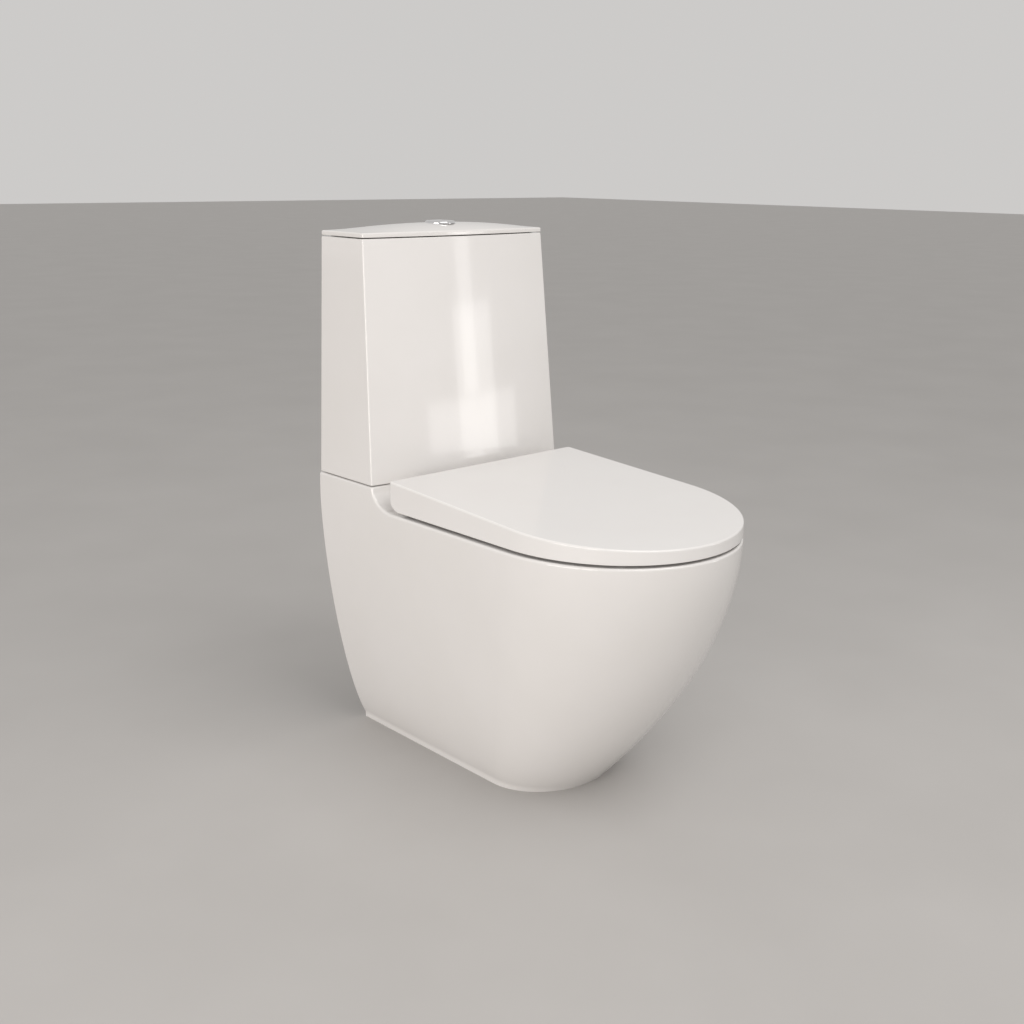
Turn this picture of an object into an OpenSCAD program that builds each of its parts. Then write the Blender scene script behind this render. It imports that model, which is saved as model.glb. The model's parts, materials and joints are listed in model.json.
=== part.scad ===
// Close coupled toilet: skirted back-to-wall pan, cistern with dual-flush and fill valves,
// and a wrap-over soft-close seat.
// Modules are drawn with the wall plane at y = 0, the floor at z = 0 and the front at negative y.
// in_place() then moves them back by half the projection, which centres the object on its origin.

/* [Overall] */
// Projection from the wall to the front of the pan
projection = 615; // [605:1:630]
// Height of the rim above the floor
rim_h = 395.5; // [392:0.5:400]
// Height of the deck that the cistern stands on
deck_h = 427; // [425:0.5:430]
// Height of the cistern's open top
cistern_top = 778.5; // [760:0.5:800]

/* [Pan] */
// Width of the pan at its rim
pan_w = 376.2; // [370:0.2:380]
// Width of the foot
foot_w = 223.4; // [216:0.2:230]
// Distance from the wall to the front of the foot
foot_front = 407.8; // [395:0.2:420]
// Thickness of the china
china = 11; // [10:0.5:12]
// Width of the bowl's opening
bowl_w = 280; // [270:1:290]
// Height of the waste outlet's centre
outlet_h = 180; // [178:1:185]
// Outer radius of the waste outlet
outlet_r = 51; // [50:0.5:52]

/* [Cistern] */
// Width across the cistern's bottom
cistern_w = 373.6; // [370:0.2:375]
// Width across the cistern's top
cistern_top_w = 347.7; // [340:0.1:352]
// Depth at the middle of the front face, at the bottom
cistern_d = 141; // [138:0.5:143]
// Depth at the middle of the front face, at the top
cistern_top_d = 111.4; // [108:0.2:114]
// Radius of the bowed front face
front_bow_r = 1578; // [1400:1:2000]
// Thickness of the cistern's walls
tank_wall = 9; // [8:0.5:10]
// Rise of the crowned lid above its flat edge
lid_crown = 10; // [8:0.5:12]

/* [Seat] */
// Width of the cover
cover_w = 365; // [360:1:368]
// Height of the cover's top at its rear edge
cover_rear_h = 442.4; // [440:0.2:446]
// Distance from the wall to the cover's rear edge
cover_rear = 165.3; // [164:0.1:168]
// Fall of the cover's top for each millimetre of its length
cover_fall = 0.0559; // [0.05:0.0001:0.06]
// Thickness of the cover's shell
cover_t = 3.5; // [3:0.1:4]
// Spacing of the two seat hinges
hinge_spacing = 155; // [150:1:160]

/* [Flush] */
// Radius of the push button's bezel
bezel_r = 23; // [21:0.5:24]
// Distance from the wall to the button and flush valve
valve_back = 62; // [60:0.5:64]
// Distance of the fill valve to the right of the middle
fill_x = 130; // [126:1:132]

/* [Hidden] */

$fn = 48;
eps = 0.01;
cut = 1;

// Pan
rim_half = pan_w / 2;
rim_round = 4.5;
foot_side = 315;
rim_side = 406;
waist_half = 105;
front_steps = 28;
bowl_steps = 32;
bowl_back = 218;
bowl_front = projection - 37;
bowl_depth = 328;
sump_half = 42;
sump_back = 270;
sump_front = 366;
skin_levels = [0, 6, 14, 30, 55, 90, 130, 175, 225, 275, 325, 370, rim_h - rim_round];
hollow_levels = [-cut, 14, 55, 110, 175, 245, 320, rim_h - china];
bowl_levels = [0.02, 0.12, 0.26, 0.4, 0.55, 0.7, 0.8, 0.88, 0.95, 1];

// Deck
deck_front = 131.5;
deck_sweep = 46;
deck_half = rim_half - 0.5;
duct_half = 46;
duct_floor = 345;
inlet_r = 28;
bolt_x = 77;
bolt_r = 4;
bolt_hole_r = 6;

// Trap
trap_r = 29;
trap_t = 9;
trap_z = 72;
trap_start = 312;
dip_back = 270;
dip_turn = 60;
weir_turn = 42;
outlet_end = 95;
outlet_len = 65;
outlet_t = 6;

// Cistern
seam = 1.5;
cistern_z = deck_h + seam;
cistern_h = cistern_top - cistern_z;
tank_floor = 12;
floor_z = cistern_z + tank_floor;
recess_half = 95;
recess_back = 13;
recess_front = 111;
recess_top = cistern_z + 29.5;
platform_z = recess_top + china;
front_tilt = atan((cistern_d - cistern_top_d) / cistern_h);
wall_hole_z = 735;
wall_hole_x = 70;
wall_hole_r = 4.5;

// Lid
lid_gap = 0.4;
lid_edge_z = cistern_top + 1.5;
lid_edge_t = 6.6;
lid_top = lid_edge_z + lid_edge_t + lid_crown;
lid_half = cistern_top_w / 2;
lid_back = 0.5;
button_seat_z = lid_top - 1.3;
lid_under_z = lid_top - 11.6;

// Seat
hinge_y = -183;
hinge_z = rim_h + 24.5;
cover_half = cover_w / 2;
cover_side = 421.5;
cover_front = projection - 1.5;
cover_bottom = rim_h + 4;
cover_corner = 23;
ring_inset = cover_t + 1.8;
ring_bottom = rim_h + 4.5;
ring_rear = 199;
ring_front_top = ring_bottom + 11.3;
ring_fall = 0.031;
buffer_spots = [[150, 300], [104.5, 545]];
knuckle_r = 12;
cover_knuckle_r = 11;
pin_r = 5;
run = 0.05;
damper_r = 8.5;
post_notch = 9.5;
notch_top = 436;
hinge_flat_r = 13.5;
hinge_x = hinge_spacing / 2;

// Flush valve
tail_r = 29;
drain_r = 24;
seat_z = platform_z + 12;
cage_top = 648;
lever_z = 684;
lever_x = 27;
rod_x = 9;
rod_r = 3;
rod_tip_z = lever_z + 3.3;
button_bottom = button_seat_z - 5;
button_rise = 5.2;
guide_floor = button_bottom - 20;

// Fill valve
fill_y = -66;
fill_tail_r = 10.4;
fill_tail_end = 388;
fill_neck_r = 10.2;
fill_nut_z = cistern_z - 12;
riser_r = 11;
fill_head_z = 692;
float_r = 31;
float_z = 612;
float_h = 62;
float_rod_x = fill_x + 26.5;
float_pivot_x = fill_x - 15;
float_lever_z = 725;

// ---------- shared shapes ----------

module in_place() translate([0, projection / 2, 0]) children();

// A solid through a stack of rings that run clockwise seen from above, listed from the bottom up
module stack(rings) {
  n = len(rings[0]);
  top = (len(rings) - 1) * n;
  points = [for (ring = rings) each ring];
  sides = [for (k = [0 : len(rings) - 2], i = [0 : n - 1])
    let (a = k * n + i, b = k * n + (i + 1) % n)
    each [[b, b + n, a + n], [b, a + n, a]]];
  bottom_face = [for (i = [n - 1 : -1 : 0]) i];
  top_face = [for (i = [0 : n - 1]) top + i];
  polyhedron(points = points, faces = concat(sides, [bottom_face, top_face]), convexity = 4);
}

// A cylinder whose axis runs along X, from x0 to x1
module bar_x(x0, x1, r, y, z) {
  translate([min(x0, x1), y, z]) rotate([0, 90, 0]) cylinder(r = r, h = abs(x1 - x0));
}

// A cylinder whose axis runs along Y, from y0 to y1
module bar_y(y0, y1, r, x, z) {
  translate([x, max(y0, y1), z]) rotate([90, 0, 0]) cylinder(r = r, h = abs(y1 - y0));
}

module tube(r_out, r_in, z0, z1) {
  difference() {
    translate([0, 0, z0]) cylinder(r = r_out, h = z1 - z0);
    translate([0, 0, z0 - cut]) cylinder(r = r_in, h = z1 - z0 + 2 * cut);
  }
}

module block(low, high) translate(low) cube(high - low);

module both_sides() {
  children();
  mirror([1, 0, 0]) children();
}

// An outline in y and z, drawn out along X to the same distance each side of the middle
module across(half)
  rotate([90, 0, 90]) translate([0, 0, -half]) linear_extrude(height = 2 * half) children();

// A wing nut with its upper face at z = 0
module wing_nut(bore_r) {
  difference() {
    union() {
      translate([0, 0, -9]) cylinder(r = bore_r + 3.5, h = 9);
      both_sides() translate([bore_r + 1, -1.5, -15]) cube([12, 3, 12]);
    }
    translate([0, 0, -cut - 15]) cylinder(r = bore_r, h = 15 + 2 * cut);
  }
}

// ---------- pan ----------

// How far a side has swelled outwards at the height u, from 0 at the foot to 1 at the rim
function swell(u, p, q) = pow(1 - pow(1 - min(max(u, 0), 1), p), 1 / q);
function skin_half(z) =
  max(foot_w / 2, waist_half + (rim_half - waist_half) * swell(z / rim_h, 1.54, 1.37));
function skin_front(z) = foot_front + (projection - foot_front) * swell(z / rim_h, 1.835, 0.964);
function skin_side(z) = foot_side + (rim_side - foot_side) * swell(z / rim_h, 1.906, 1);

// A ring with a straight back and sides and a half-elliptical front
function d_ring(half, back, side, front, z) = concat(
  [[half, -back, z]],
  [for (i = [0 : front_steps]) let (a = 180 * i / front_steps)
    [half * cos(a), -side - (front - side) * sin(a), z]],
  [[-half, -back, z]]
);

function skin_ring(z, inset, lift = 0) =
  d_ring(skin_half(z) - inset, max(0, inset), skin_side(z), skin_front(z) - inset, z + lift);

// The rim's outer edge turns in through a quarter circle but stays flat against the wall
function rim_ring(a) = let (z = rim_h - rim_round, in = rim_round * (1 - cos(a)))
  d_ring(skin_half(z) - in, 0, skin_side(z), skin_front(z) - in, z + rim_round * sin(a));

module skin() stack(concat([for (z = skin_levels) skin_ring(z, 0)], [for (a = [30, 60, 90]) rim_ring(a)]));

module skin_hollow() stack([for (z = hollow_levels) skin_ring(z, china)]);

function bowl_ring(t, grow, drop = 0) =
  let (
    half = sump_half + (bowl_w / 2 - sump_half) * pow(1 - pow(t, 2.2), 0.9) + grow,
    back = bowl_back + (sump_back - bowl_back) * t * t - grow,
    front = bowl_front + (sump_front - bowl_front) * pow(t, 1.6) + grow
  )
  [for (i = [0 : bowl_steps - 1]) let (a = -360 * i / bowl_steps)
    [half * cos(a), -(back + front) / 2 + (front - back) / 2 * sin(a), rim_h - bowl_depth * t - drop]];

module bowl_outside() stack(concat(
  [bowl_ring(1, china - 4, china)],
  [for (i = [len(bowl_levels) - 1 : -1 : 0]) bowl_ring(bowl_levels[i], china)]
));

module bowl_inside() stack(concat(
  [for (i = [len(bowl_levels) - 1 : -1 : 0]) bowl_ring(bowl_levels[i], 0)],
  [bowl_ring(0, 2, -cut)]
));

// The block that the cistern stands on, blended into the rim by a hollow curve
module deck_outline() {
  polygon(concat(
    [[0, rim_h - 7], [0, deck_h], [-deck_front, deck_h]],
    [for (a = [8 : 12 : 80])
      [-deck_front - deck_sweep * (1 - cos(a)), deck_h - (deck_h - rim_h) * sin(a)]],
    [[-deck_front - deck_sweep - 3, rim_h - 0.8], [-deck_front - deck_sweep - 3, rim_h - 7]]
  ));
}

module deck() across(deck_half) deck_outline();

module deck_hollow() {
  block([-deck_half + china, -deck_front + china, rim_h - china - 4],
        [deck_half - china, -china - 1, deck_h - china - 1]);
}

// The passage of the trap: back from the sump, up over the weir and out to the waste pipe
module trap_passage(r) {
  translate([0, -trap_start, trap_z]) sphere(r = r);
  bar_y(-trap_start, -dip_back, r, 0, trap_z);
  translate([0, -dip_back, trap_z + dip_turn]) rotate([90, 0, 90])
    rotate([0, 0, -90]) rotate_extrude(angle = 90) translate([dip_turn, 0]) circle(r = r);
  riser_y = -dip_back + dip_turn;
  riser_top = outlet_h - weir_turn;
  translate([0, riser_y, trap_z + dip_turn]) cylinder(r = r, h = riser_top - trap_z - dip_turn);
  translate([0, riser_y + weir_turn, riser_top]) rotate([90, 0, 90])
    rotate([0, 0, 90]) rotate_extrude(angle = 90) translate([weir_turn, 0]) circle(r = r);
}

// The straight outlet, which widens from the trap's radius to the pipe's
module outlet(r_from, r_to, y_end) {
  y0 = -dip_back + dip_turn + weir_turn;
  y1 = -outlet_end - outlet_len + 12;
  translate([0, y0, outlet_h]) rotate([-90, 0, 0]) cylinder(r1 = r_from, r2 = r_to, h = y1 - y0);
  bar_y(y1, y_end, r_to, 0, outlet_h);
}

module floor_lugs() {
  both_sides() block([68, -100, 0], [foot_w / 2 - 6, -60, 12]);
}

module pan() color("white") {
  lug_x = 85;
  duct_end = bowl_back + 10;
  difference() {
    union() {
      difference() {
        union() {
          skin();
          deck();
        }
        skin_hollow();
        deck_hollow();
        // The back is open for the pipework
        rotate([90, 0, 0]) translate([0, 0, -cut]) linear_extrude(height = china + 3) polygon(concat(
          [for (z = hollow_levels) [skin_half(max(z, 0)) - china - 3, min(z, rim_h - china - 6)]],
          [for (i = [len(hollow_levels) - 1 : -1 : 0])
            [-skin_half(max(hollow_levels[i], 0)) + china + 3, min(hollow_levels[i], rim_h - china - 6)]]
        ));
      }
      bowl_outside();
      trap_passage(trap_r + trap_t);
      outlet(trap_r + trap_t, outlet_r, -outlet_end);
      block([-duct_half, -bowl_back - 4, duct_floor], [duct_half, -19, rim_h - 6]);
      block([-duct_half, -deck_front + 5, duct_floor], [duct_half, -19, deck_h - china]);
      floor_lugs();
    }
    bowl_inside();
    trap_passage(trap_r);
    outlet(trap_r, outlet_r - outlet_t, -outlet_end + cut);
    // Flush duct from the cistern to the back of the bowl
    block([-duct_half + china, -duct_end, duct_floor + china], [duct_half - china, -30, rim_h - 18]);
    translate([0, -valve_back, duct_floor + china + 2]) cylinder(r = inlet_r, h = deck_h - duct_floor);
    both_sides() {
      translate([bolt_x, -valve_back, deck_h - 2 * china]) cylinder(r = bolt_hole_r, h = 3 * china);
      translate([hinge_x, hinge_y, rim_h - 2 * china]) cylinder(r = 7, h = 3 * china);
      translate([hinge_x, hinge_y, rim_h]) cylinder(r = hinge_flat_r, h = china);
      translate([lug_x, -80, -cut]) cylinder(r = 4.5, h = 20);
    }
    translate([fill_x, fill_y, deck_h - 2 * china]) cylinder(r = 24, h = 3 * china);
  }
}

// ---------- cistern ----------

// The leaning, bowed block between the wall and the front face, thinned by inset on every side
module tank_block(inset, z0, z1) {
  lean = (cistern_w - cistern_top_w) / 2 / cistern_h;
  low = cistern_w / 2 - inset - lean * (z0 - cistern_z);
  high = cistern_w / 2 - inset - lean * (z1 - cistern_z);
  intersection() {
    rotate([90, 0, 0]) translate([0, 0, inset]) linear_extrude(height = cistern_d + 20)
      polygon([[-low, z0], [low, z0], [high, z1], [-high, z1]]);
    translate([0, -cistern_d, cistern_z]) rotate([-front_tilt, 0, 0])
      translate([0, front_bow_r, -100]) cylinder(r = front_bow_r - inset, h = cistern_h + 300);
  }
}

module cistern() color("white") {
  difference() {
    union() {
      difference() {
        tank_block(0, cistern_z, cistern_top);
        tank_block(tank_wall, floor_z, cistern_top + cut);
      }
      block([-recess_half - china, -recess_front - 10, cistern_z + 2],
            [recess_half + china, -5, platform_z]);
    }
    block([-recess_half, -recess_front, cistern_z - cut], [recess_half, -recess_back, recess_top]);
    translate([0, -valve_back, recess_top - cut]) cylinder(r = 31, h = 2 * china);
    both_sides() {
      translate([bolt_x, -valve_back, recess_top - cut]) cylinder(r = bolt_hole_r, h = 2 * china);
      translate([wall_hole_x, cut, wall_hole_z]) rotate([90, 0, 0])
        cylinder(r = wall_hole_r, h = tank_wall + 2 * cut);
    }
    translate([fill_x, fill_y, cistern_z - cut]) cylinder(r = 14, h = tank_floor + 2 * cut);
  }
}

// The lid's outline, bowed like the cistern's front and drawn in by inset on every side
function bow(x) = cistern_top_d - (front_bow_r - sqrt(front_bow_r * front_bow_r - x * x));
function lid_outline(inset) = let (half = lid_half - inset) concat(
  [[half, -lid_back - inset]],
  [for (i = [0 : 16]) let (x = half * (1 - i / 8)) [x, -bow(x) + inset]],
  [[-half, -lid_back - inset]]
);

module lid_slab(inset, z0, z1)
  translate([0, 0, z0]) linear_extrude(height = z1 - z0) polygon(lid_outline(inset));

// The crowned top: flat all round its edge, highest in the middle
module lid_crown_block() {
  across_n = 20;
  deep_n = 10;
  function crown(u, v) = lid_crown * (1 - pow(abs(u), 2.2)) * (1 - pow(abs(2 * v - 1), 2.2));
  function spot(i, j, top) =
    let (u = 2 * i / across_n - 1, v = j / deep_n, x = u * lid_half)
    [x, -lid_back - (bow(x) - lid_back) * v, top ? lid_edge_z + lid_edge_t + crown(u, v) : lid_edge_z];
  w = deep_n + 1;
  count = (across_n + 1) * w;
  points = [for (top = [false, true], i = [0 : across_n], j = [0 : deep_n]) spot(i, j, top)];
  function at(i, j, top) = (top ? count : 0) + i * w + j;
  tops = [for (i = [0 : across_n - 1], j = [0 : deep_n - 1])
    each [[at(i, j, true), at(i + 1, j, true), at(i + 1, j + 1, true)],
          [at(i, j, true), at(i + 1, j + 1, true), at(i, j + 1, true)]]];
  bottoms = [for (i = [0 : across_n - 1], j = [0 : deep_n - 1])
    each [[at(i + 1, j + 1, false), at(i + 1, j, false), at(i, j, false)],
          [at(i, j + 1, false), at(i + 1, j + 1, false), at(i, j, false)]]];
  edges = concat(
    [for (i = [0 : across_n - 1]) each [[at(i, 0, false), at(i + 1, 0, false), at(i + 1, 0, true)],
                                        [at(i, 0, false), at(i + 1, 0, true), at(i, 0, true)]]],
    [for (i = [0 : across_n - 1]) let (j = deep_n)
      each [[at(i + 1, j, true), at(i + 1, j, false), at(i, j, false)],
            [at(i, j, true), at(i + 1, j, true), at(i, j, false)]]],
    [for (j = [0 : deep_n - 1]) each [[at(0, j + 1, true), at(0, j + 1, false), at(0, j, false)],
                                      [at(0, j, true), at(0, j + 1, true), at(0, j, false)]]],
    [for (j = [0 : deep_n - 1]) let (i = across_n)
      each [[at(i, j, false), at(i, j + 1, false), at(i, j + 1, true)],
            [at(i, j, false), at(i, j + 1, true), at(i, j, true)]]]
  );
  polyhedron(points = points, faces = concat(tops, bottoms, edges), convexity = 4);
}

module cistern_lid() color("white") {
  difference() {
    union() {
      lid_crown_block();
      lid_slab(4, cistern_top + lid_gap, lid_edge_z + 2);
      lid_slab(tank_wall + 1.5, cistern_top - 7, lid_edge_z + 2);
    }
    lid_slab(tank_wall + 6.5, cistern_top - 8, lid_under_z);
    translate([0, -valve_back, cistern_top - 10]) cylinder(r = 19, h = 60);
    translate([0, -valve_back, button_seat_z]) cylinder(r = bezel_r + 1, h = 20);
  }
}

// ---------- close coupling ----------

module doughnut_washer() color("dimgray") translate([0, -valve_back, 0]) rotate_extrude() polygon([
  [inlet_r + 2.5, deck_h], [46, deck_h], [46, deck_h + 24], [41.5, deck_h + 24],
  [41.5, deck_h + 17.5], [tail_r + 1.5, deck_h + 17.5]
]);

module coupling_bolts() color("silver") both_sides() translate([bolt_x, -valve_back, 0]) {
  head_z = platform_z + 6;
  translate([0, 0, deck_h - 38]) cylinder(r = bolt_r, h = head_z - deck_h + 38);
  translate([0, 0, head_z]) cylinder(r = 7.5, h = 5, $fn = 6);
}

module coupling_seals() color("dimgray") both_sides() translate([bolt_x, -valve_back, 0]) {
  tube(11, bolt_r, platform_z, platform_z + 4);
  tube(11, bolt_r, deck_h - china - 4, deck_h - china - 1);
}

module coupling_washers() color("silver") both_sides() translate([bolt_x, -valve_back, 0]) {
  tube(10, bolt_r, platform_z + 4, platform_z + 6);
  tube(10, bolt_r, deck_h - china - 6, deck_h - china - 4);
}

module coupling_wing_nuts() color("silver") both_sides()
  translate([bolt_x, -valve_back, deck_h - china - 6]) wing_nut(bolt_r);

// ---------- seat ----------

function seat_outline(inset, rear) = let (half = cover_half - inset) concat(
  [[half, -rear]],
  [for (i = [0 : front_steps]) let (a = 180 * i / front_steps)
    [half * cos(a), -cover_side - (cover_front - cover_side - inset) * sin(a)]],
  [[-half, -rear]]
);

function cover_top(back) = cover_rear_h - cover_fall * (back - cover_rear);
function ring_top(back) = ring_front_top + ring_fall * (cover_front - back);

// The cover's side view: a sloping top and a lower rear corner rounded about the hinge
module cover_side_view(inset) {
  r = cover_corner - inset;
  cy = -cover_rear - cover_corner;
  cz = cover_bottom + cover_corner;
  below = inset > 0 ? cut : 0;
  front = cover_front + 5;
  polygon(concat(
    [[-front, cover_bottom - below], [-front, cover_top(front) - inset],
     [-cover_rear - inset, cover_top(cover_rear + inset) - inset]],
    [for (a = [0 : 9 : 90]) [cy + r * cos(a), cz - r * sin(a)]],
    inset > 0 ? [[cy, cover_bottom - below]] : []
  ));
}

module cover_block(inset, bottom) intersection() {
  translate([0, 0, bottom]) linear_extrude(height = 80) polygon(seat_outline(inset, cover_rear - 5));
  across(cover_half) cover_side_view(inset);
}

// A hinge knuckle from x0 to x1, with the arm that joins it to its plate
module knuckle(x0, x1, r, arm_low, arm_high) {
  bar_x(x0, x1, r, hinge_y, hinge_z);
  block([min(x0, x1), arm_low[0], arm_low[1]], [max(x0, x1), arm_high[0], arm_high[1]]);
}

module seat_cover() color("white") {
  arm_top = cover_top(-hinge_y + 7) - cover_t / 2;
  difference() {
    union() {
      difference() {
        cover_block(0, cover_bottom - 5);
        cover_block(cover_t, cover_bottom - 6);
      }
      both_sides() knuckle(hinge_x + 9.5, hinge_x + 26.5, cover_knuckle_r,
                           [hinge_y - 7, hinge_z], [hinge_y + 7, arm_top]);
    }
    bar_x(-hinge_x - 30, -hinge_x - 9, pin_r + run, hinge_y, hinge_z);
    bar_x(hinge_x + 9, hinge_x + 30, damper_r, hinge_y, hinge_z);
    // Each hinge post stands in a notch in the rear skin, which turns round it
    both_sides() block([hinge_x - post_notch, -cover_rear - cover_corner - 3, cover_bottom - 5],
                       [hinge_x + post_notch, -cover_rear + 5, notch_top]);
  }
}

module cover_buffers() color("gainsboro") both_sides() {
  back = 520;
  r = 6;
  foot = ring_top(back - r) + 0.4;
  translate([120, -back, foot]) cylinder(r = r, h = cover_top(back) - cover_t + 0.6 - foot);
}

module cover_damper() color("gray") difference() {
  bar_x(hinge_x + 9.5, hinge_x + 26.5, damper_r, hinge_y, hinge_z);
  bar_x(hinge_x + 9, hinge_x + 27, pin_r + run, hinge_y, hinge_z);
}

module ring_side_view(drop, bottom) polygon([
  [-cover_front - 5, bottom], [-cover_front - 5, ring_top(cover_front + 5) - drop],
  [-ring_rear, ring_top(ring_rear) - drop], [-ring_rear, bottom]
]);

// The opening that the seat leaves, widened by grow
module seat_opening(grow) {
  half = 108 + grow;
  back = 262 - grow;
  front = 528 + grow;
  polygon([for (i = [0 : 35]) let (a = 10 * i)
    [half * cos(a), -(back + front) / 2 + (front - back) / 2 * sin(a)]]);
}

module seat_ring() color("white") {
  wall = 8;
  skin_t = 7;
  difference() {
    union() {
      intersection() {
        translate([0, 0, ring_bottom]) linear_extrude(height = 40) difference() {
          polygon(seat_outline(ring_inset, ring_rear));
          seat_opening(0);
        }
        across(cover_half) ring_side_view(0, ring_bottom);
      }
      both_sides() knuckle(hinge_x - 26.5, hinge_x - 9.5, knuckle_r,
                           [-ring_rear - 8, hinge_z - 8], [hinge_y, hinge_z + 4]);
    }
    // The underside is a channel, which keeps the moulding light
    intersection() {
      translate([0, 0, ring_bottom - cut]) linear_extrude(height = 30) difference() {
        polygon(seat_outline(ring_inset + wall, ring_rear + wall + 6));
        seat_opening(wall);
        for (spot = buffer_spots) both_sides() translate([spot[0], -spot[1]]) circle(r = 9);
      }
      across(cover_half) ring_side_view(skin_t, ring_bottom - cut);
    }
    bar_x(-hinge_x + 9, -hinge_x + 30, damper_r, hinge_y, hinge_z);
    bar_x(hinge_x - 30, hinge_x - 9, pin_r + run, hinge_y, hinge_z);
  }
}

module ring_buffers() color("gainsboro") {
  for (spot = buffer_spots) both_sides()
    translate([spot[0], -spot[1], rim_h + 0.4]) cylinder(r = 6, h = ring_bottom - rim_h + 1);
}

module ring_damper() color("gray") difference() {
  bar_x(-hinge_x + 9.5, -hinge_x + 26.5, damper_r, hinge_y, hinge_z);
  bar_x(-hinge_x + 9, -hinge_x + 27, pin_r + run, hinge_y, hinge_z);
}

module hinge_post(side) color("silver") {
  x = side * hinge_x;
  difference() {
    union() {
      translate([x, hinge_y, rim_h + 1]) cylinder(r = 12, h = 1.8);
      translate([x, hinge_y, rim_h + 2]) cylinder(r = 8, h = hinge_z - rim_h - 2);
      bar_x(x - 9, x + 9, cover_knuckle_r, hinge_y, hinge_z);
    }
    bar_x(x - 10, x + 10, pin_r, hinge_y, hinge_z);
    translate([x, hinge_y, rim_h - cut]) cylinder(r = 3, h = 12);
  }
}

module left_hinge_post() hinge_post(-1);
module right_hinge_post() hinge_post(1);

module hinge_pin(side) color("gray")
  bar_x(side * (hinge_x - 27), side * (hinge_x + 27), pin_r, hinge_y, hinge_z);

module left_hinge_pin() hinge_pin(-1);
module right_hinge_pin() hinge_pin(1);

module hinge_pads() color("gainsboro") both_sides()
  translate([hinge_x, hinge_y, 0]) tube(12.5, 3, rim_h, rim_h + 1);

module hinge_studs() color("silver") both_sides()
  translate([hinge_x, hinge_y, rim_h - 40]) cylinder(r = 3, h = 51);

module hinge_fixing_washers() color("dimgray") both_sides()
  translate([hinge_x, hinge_y, 0]) tube(11, 3, rim_h - china - 3, rim_h - china);

module hinge_wing_nuts() color("gainsboro") both_sides()
  translate([hinge_x, hinge_y, rim_h - china - 3]) wing_nut(3);

// ---------- flush buttons, which the lid carries ----------

module button_bezel() color("silver") translate([0, -valve_back, 0]) rotate_extrude() polygon([
  [17.4, cistern_top - 8], [18.6, cistern_top - 8], [18.6, button_seat_z], [bezel_r, button_seat_z],
  [bezel_r, button_seat_z + 1.2], [bezel_r - 1, button_seat_z + 2.2], [bezel_r - 3, button_seat_z + 3.3],
  [18.2, button_seat_z + 4.2], [17.4, button_seat_z + 4.2]
]);

module button_guide() color("gainsboro") translate([0, -valve_back, 0]) difference() {
  translate([0, 0, guide_floor - 2]) cylinder(r = 17.4, h = button_seat_z - guide_floor + 3);
  translate([0, 0, guide_floor]) cylinder(r = 16, h = 60);
  both_sides() translate([rod_x, 0, guide_floor - 3]) cylinder(r = rod_r + run, h = 4);
}

module button_nut() color("gainsboro") translate([0, -valve_back, 0]) difference() {
  translate([0, 0, lid_under_z - 7]) cylinder(r = 27, h = 7, $fn = 12);
  translate([0, 0, lid_under_z - 8]) cylinder(r = 18.6, h = 9);
}

// The two buttons share one round opening and meet along a line left of the middle
split_x = -2.5;

module button_disc() translate([0, -valve_back, button_bottom]) difference() {
  cylinder(r = 15.7, h = button_seat_z + button_rise - button_bottom);
  translate([0, 0, -cut]) cylinder(r = 13.5, h = 5);
}

module button_foot(x) translate([x, -valve_back, button_bottom]) cylinder(r = 4.2, h = 6);

module half_flush_button() color("silver") {
  intersection() {
    button_disc();
    block([-20, -valve_back - 20, 700], [split_x - 0.4, -valve_back + 20, 900]);
  }
  button_foot(-rod_x);
}

module full_flush_button() color("silver") {
  intersection() {
    button_disc();
    block([split_x + 0.4, -valve_back - 20, 700], [20, -valve_back + 20, 900]);
  }
  button_foot(rod_x);
}

module push_rod(x) color("gainsboro") translate([x, -valve_back, 0]) {
  translate([0, 0, rod_tip_z + rod_r]) cylinder(r = rod_r, h = button_bottom - rod_tip_z - rod_r);
  translate([0, 0, rod_tip_z + rod_r]) sphere(r = rod_r);
}

module half_push_rod() push_rod(-rod_x);
module full_push_rod() push_rod(rod_x);

// A return spring: a wire of radius wire_r wound round the rod between the guide and the button
module return_spring(x) {
  wire_r = 0.7;
  coil_r = 5;
  turns = 4;
  per_turn = 12;
  sides = 6;
  z0 = guide_floor + wire_r + 0.1;
  rise = button_bottom - guide_floor - 2 * wire_r - 0.2;
  rings = [for (k = [0 : turns * per_turn])
    let (a = -360 * k / per_turn, z = z0 + rise * k / turns / per_turn)
    [for (i = [0 : sides - 1]) let (b = -360 * i / sides, r = coil_r + wire_r * cos(b))
      [r * cos(a), r * sin(a), z + wire_r * sin(b)]]];
  color("silver") translate([x, -valve_back, 0]) stack(rings);
}

module half_button_spring() return_spring(-rod_x);
module full_button_spring() return_spring(rod_x);

// ---------- flush valve ----------

module flush_valve_base() color("gainsboro") translate([0, -valve_back, 0]) difference() {
  union() {
    translate([0, 0, deck_h + 6]) cylinder(r = tail_r, h = platform_z + 3 - deck_h - 6);
    translate([0, 0, platform_z + 2]) cylinder(r = 38, h = 5);
    translate([0, 0, platform_z + 7 - eps]) cylinder(r = 31, h = seat_z - platform_z - 7 + eps);
  }
  translate([0, 0, deck_h]) cylinder(r = drain_r, h = 80);
}

module flush_valve_washer() color("dimgray") translate([0, -valve_back, 0])
  tube(38, tail_r, platform_z, platform_z + 2);

module flush_valve_nut() color("gainsboro") translate([0, -valve_back, 0]) difference() {
  translate([0, 0, recess_top - 12]) cylinder(r = 40, h = 12, $fn = 8);
  translate([0, 0, recess_top - 13]) cylinder(r = tail_r, h = 14);
}

module flush_valve_cage() color("royalblue") translate([0, -valve_back, 0]) difference() {
  tube(36, 33, platform_z + 7, cage_top);
  for (a = [0, 90]) rotate([0, 0, a]) block([-50, -14, seat_z], [50, 14, seat_z + 45]);
}

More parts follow.
